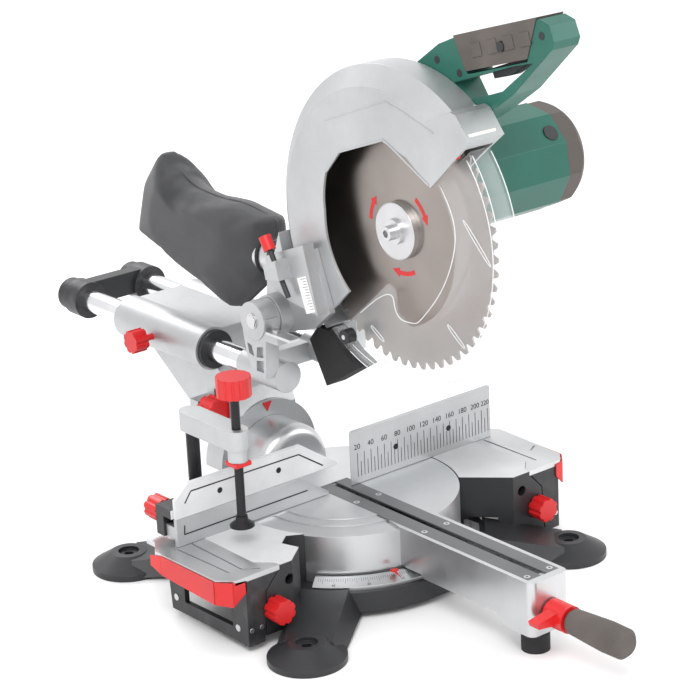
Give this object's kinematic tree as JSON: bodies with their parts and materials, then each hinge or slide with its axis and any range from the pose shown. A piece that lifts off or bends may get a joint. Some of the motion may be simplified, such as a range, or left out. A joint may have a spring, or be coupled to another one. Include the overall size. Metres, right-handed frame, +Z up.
{
  "type": "mitre saw on stand",
  "caption": "Sliding compound mitre saw with tilting head, slide tubes, clear guard, D-handle, motor, dust bag, fence and clamp.",
  "frame": {"origin": "on the bench, under the turntable's pivot, midway between the four foot bolt holes", "axes": "+Z up, +X to the operator's right along the fence, +Y away from the operator"},
  "size_m": [0.505, 0.926, 0.6695],
  "materials": {
    "cast_aluminium": "bead-blasted die casting",
    "machined_table": "machined, fine turned lines",
    "scale_plate": "satin, engraved divisions",
    "black_steel": "black oxide",
    "black_casting": "die casting, satin black coat",
    "bright_steel": "turned",
    "chrome_tube": "polished",
    "red_plastic": "moulded, fine grain",
    "black_plastic": "moulded, fine grain",
    "green_plastic": "semi-gloss moulded shell",
    "grip_rubber": "soft overmould",
    "black_rubber": "moulded",
    "kerf_board": "grey moulded board",
    "blade_steel": "circular brushed, carbide-tipped",
    "clear_guard": "clear polycarbonate",
    "bag_fabric": "woven cloth",
    "bronze_bush": "sintered bearing bronze",
    "laminations": "stacked laminations"
  },
  "bodies": {
    "base": {"base_casting": "black_casting", "mitre_scale": "scale_plate", "pivot_bolt": "bright_steel", "fence_left": "cast_aluminium", "fence_right": "cast_aluminium", "fence_bolts": "black_steel"},
    "clamp": {"clamp_post": "bright_steel", "clamp_arm": "cast_aluminium"},
    "turntable": {"turntable": "machined_table", "kerf_boards": "kerf_board", "bevel_shaft": "bright_steel"},
    "arm_foot": {"arm_foot": "black_rubber"},
    "mitre_lock": {"mitre_lock": "grip_rubber"},
    "detent_lever": {"detent_lever": "red_plastic"},
    "tilt_frame": {"tilt_casting": "cast_aluminium", "slide_bushings": "black_plastic"},
    "bevel_lock_knob": {"bevel_lock_knob": "red_plastic"},
    "slide_lock_knob": {"slide_lock_knob": "black_plastic"},
    "carriage": {"slide_tubes": "chrome_tube", "rear_crossbar": "cast_aluminium", "tube_end_caps": "black_plastic", "carriage_bracket": "cast_aluminium", "hinge_pin": "bright_steel", "return_spring": "bright_steel"},
    "stop_plate": {"stop_plate": "bright_steel"},
    "head": {"upper_guard": "cast_aluminium", "head_casting": "cast_aluminium", "gear_case": "cast_aluminium", "motor_housing": "green_plastic", "motor_end_cap": "cast_aluminium", "brushes": "black_plastic", "stator": "laminations", "handle_shell": "green_plastic", "handle_grip": "grip_rubber", "dust_port": "bright_steel", "dust_bag": "bag_fabric", "chip_flap": "black_rubber", "bearings": "bright_steel", "cord_gland": "black_rubber"},
    "blade": {"saw_blade": "blade_steel", "blade_flanges": "bright_steel", "blade_bolt": "black_steel", "spindle": "bright_steel", "drive_gear": "bright_steel"},
    "rotor": {"motor_rotor": "laminations"},
    "lower_guard": {"lower_guard": "clear_guard", "guard_roller": "black_plastic"},
    "trigger": {"trigger": "red_plastic"},
    "lock_off_button": {"lock_off_button": "black_plastic"},
    "depth_stop": {"depth_stop_screw": "red_plastic"},
    "upper_fence": {"fence_left_upper": "cast_aluminium"},
    "fence_knob": {"fence_lock_knob": "red_plastic"},
    "extension_left": {"extension_top_left": "machined_table", "extension_bracket_left": "black_casting"},
    "extension_right": {"extension_top_right": "machined_table", "extension_bracket_right": "black_casting"},
    "extension_knob_left": {"extension_knob_left": "red_plastic"},
    "extension_knob_right": {"extension_knob_right": "red_plastic"},
    "clamp_spindle": {"clamp_spindle": "bright_steel", "clamp_knob": "red_plastic"}
  },
  "joints": [
    {"name": "mitre", "type": "hinge", "parent": "base", "child": "turntable", "pos_m": [0, 0, 0], "axis": [0, 0, -1], "range_deg": [-46, 46]},
    {"name": "arm_foot_adjust", "type": "slide", "parent": "turntable", "child": "arm_foot", "axis": [0, 0, 1], "range_m": [0, 0.005]},
    {"name": "mitre_lock_turn", "type": "hinge", "parent": "turntable", "child": "mitre_lock", "pos_m": [0, -0.4, 0.051], "axis": [0, 1, 0], "range_deg": [-90, 0]},
    {"name": "detent_press", "type": "hinge", "parent": "turntable", "child": "detent_lever", "pos_m": [0, -0.352, 0.051], "axis": [0, 1, 0], "range_deg": [0, 25], "stiffness_Nm_per_rad": 0.6, "springref_deg": -11.46},
    {"name": "bevel", "type": "hinge", "parent": "turntable", "child": "tilt_frame", "pos_m": [0, 0, 0.09], "axis": [0, -1, 0], "range_deg": [0, 28]},
    {"name": "bevel_lock_turn", "type": "hinge", "parent": "tilt_frame", "child": "bevel_lock_knob", "pos_m": [-0.054, 0.17, 0.152], "axis": [0, 1, 0], "range_deg": [-180, 180]},
    {"name": "slide_lock_turn", "type": "hinge", "parent": "tilt_frame", "child": "slide_lock_knob", "pos_m": [-0.09, 0.265, 0.227], "axis": [1, 0, 0], "range_deg": [-180, 180]},
    {"name": "head_slide", "type": "slide", "parent": "tilt_frame", "child": "carriage", "axis": [0, 1, 0], "range_m": [-0.078, 0.058]},
    {"name": "stop_swing", "type": "hinge", "parent": "carriage", "child": "stop_plate", "pos_m": [-0.069, 0.022, 0.288], "axis": [0, 0, 1], "range_deg": [-35, 0]},
    {"name": "chop", "type": "hinge", "parent": "carriage", "child": "head", "pos_m": [0, 0.057, 0.296], "axis": [1, 0, 0], "range_deg": [0, 52], "stiffness_Nm_per_rad": 12, "springref_deg": -91.67},
    {"name": "blade_spin", "type": "hinge", "parent": "head", "child": "blade", "pos_m": [0, -0.116, 0.42], "axis": [1, 0, 0], "continuous": true},
    {"name": "rotor_spin", "type": "hinge", "parent": "head", "child": "rotor", "pos_m": [0, -0.10801, 0.45792], "axis": [1, 0, 0], "continuous": true},
    {"name": "lower_guard_swing", "type": "hinge", "parent": "head", "child": "lower_guard", "pos_m": [0, -0.116, 0.42], "axis": [1, 0, 0], "range_deg": [-151, 0]},
    {"name": "trigger_pull", "type": "slide", "parent": "head", "child": "trigger", "axis": [0, -0.27, 0.9629], "range_m": [0, 0.003], "stiffness_N_per_m": 800, "springref_m": -0.002},
    {"name": "lock_off_press", "type": "slide", "parent": "head", "child": "lock_off_button", "axis": [1, 0, 0], "range_m": [0, 0.002], "stiffness_N_per_m": 600, "springref_m": -0.002},
    {"name": "depth_stop_turn", "type": "hinge", "parent": "head", "child": "depth_stop", "pos_m": [-0.058, 0.01, 0.33], "axis": [0, 0.5145, 0.8575], "range_deg": [-180, 180]},
    {"name": "upper_fence_slide", "type": "slide", "parent": "base", "child": "upper_fence", "axis": [-1, 0, 0], "range_m": [0, 0.06]},
    {"name": "fence_knob_turn", "type": "hinge", "parent": "upper_fence", "child": "fence_knob", "pos_m": [-0.222, 0.04, 0.119], "axis": [0, 1, 0], "range_deg": [-180, 180]},
    {"name": "extension_left_slide", "type": "slide", "parent": "base", "child": "extension_left", "axis": [-1, 0, 0], "range_m": [0, 0.036]},
    {"name": "extension_right_slide", "type": "slide", "parent": "base", "child": "extension_right", "axis": [1, 0, 0], "range_m": [0, 0.036]},
    {"name": "extension_knob_left_turn", "type": "hinge", "parent": "base", "child": "extension_knob_left", "pos_m": [-0.1918, -0.12, 0.0437], "axis": [0, 1, 0], "range_deg": [-180, 180]},
    {"name": "extension_knob_right_turn", "type": "hinge", "parent": "base", "child": "extension_knob_right", "pos_m": [0.1918, -0.12, 0.0437], "axis": [0, 1, 0], "range_deg": [-180, 180]},
    {"name": "clamp_swing", "type": "hinge", "parent": "base", "child": "clamp", "pos_m": [-0.177, 0.04, 0], "axis": [0, 0, -1], "range_deg": [0, 90]},
    {"name": "clamp_screw", "type": "slide", "parent": "clamp", "child": "clamp_spindle", "axis": [0, 0, 1], "range_m": [-0.02, 0.04]}
  ],
  "couplings": [
    {"joint": "rotor_spin", "follows": "blade_spin", "ratio": -4.1667},
    {"joint": "lower_guard_swing", "follows": "chop", "ratio": -2.9}
  ]
}
